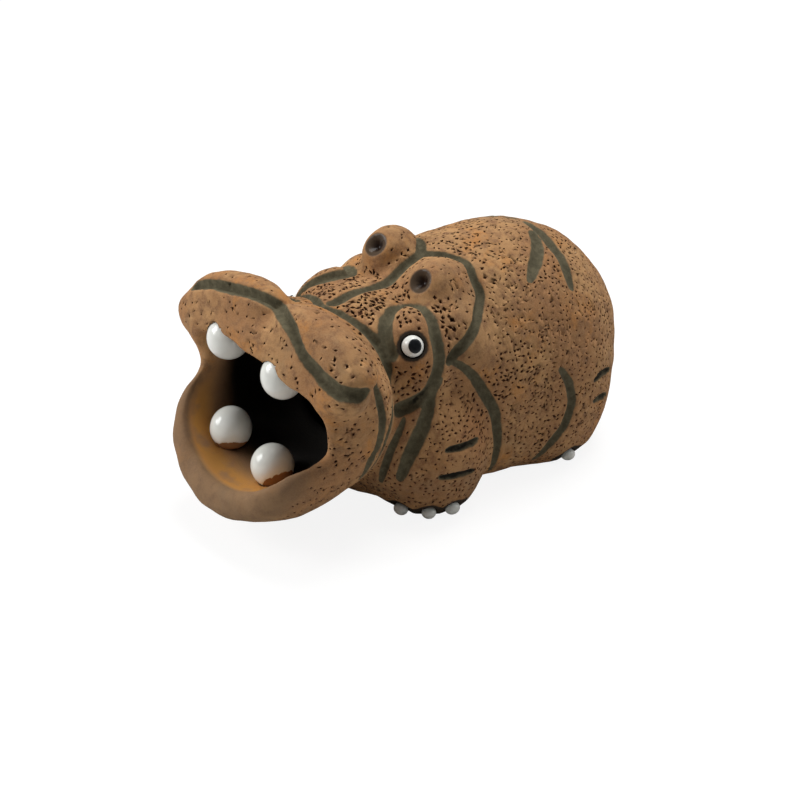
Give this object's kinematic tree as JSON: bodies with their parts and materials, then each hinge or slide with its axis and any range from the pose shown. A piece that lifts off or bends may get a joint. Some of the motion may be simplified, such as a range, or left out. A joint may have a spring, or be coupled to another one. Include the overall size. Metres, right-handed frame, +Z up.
{
  "type": "hippopotamus figurine",
  "caption": "Squat fired-clay hippopotamus figurine, hollow, with a wide open mouth, carved folds and white glazed teeth, eyes and nails.",
  "frame": {"origin": "on the flat underside, under the point between the ears and the forelegs, on the figurine's middle plane", "axes": "+Z up, -Y the way the open mouth looks, +X the animal's left side"},
  "size_m": [0.0922, 0.1667, 0.0809],
  "materials": {
    "fired_clay": "unglazed brown terracotta, pricked all over, with dark stain in the grooves",
    "white_glaze": "glossy white glaze"
  },
  "bodies": {
    "root": {"body": "fired_clay", "tooth_lower_left": "white_glaze", "tooth_lower_right": "white_glaze", "tooth_upper_left": "white_glaze", "tooth_upper_right": "white_glaze", "eye_left": "white_glaze", "eye_right": "white_glaze", "nail_front_left_1": "white_glaze", "nail_front_left_2": "white_glaze", "nail_front_left_3": "white_glaze", "nail_front_right_1": "white_glaze", "nail_front_right_2": "white_glaze", "nail_front_right_3": "white_glaze", "nail_hind_left_1": "white_glaze", "nail_hind_left_2": "white_glaze", "nail_hind_left_3": "white_glaze", "nail_hind_right_1": "white_glaze", "nail_hind_right_2": "white_glaze", "nail_hind_right_3": "white_glaze"}
  },
  "joints": []
}
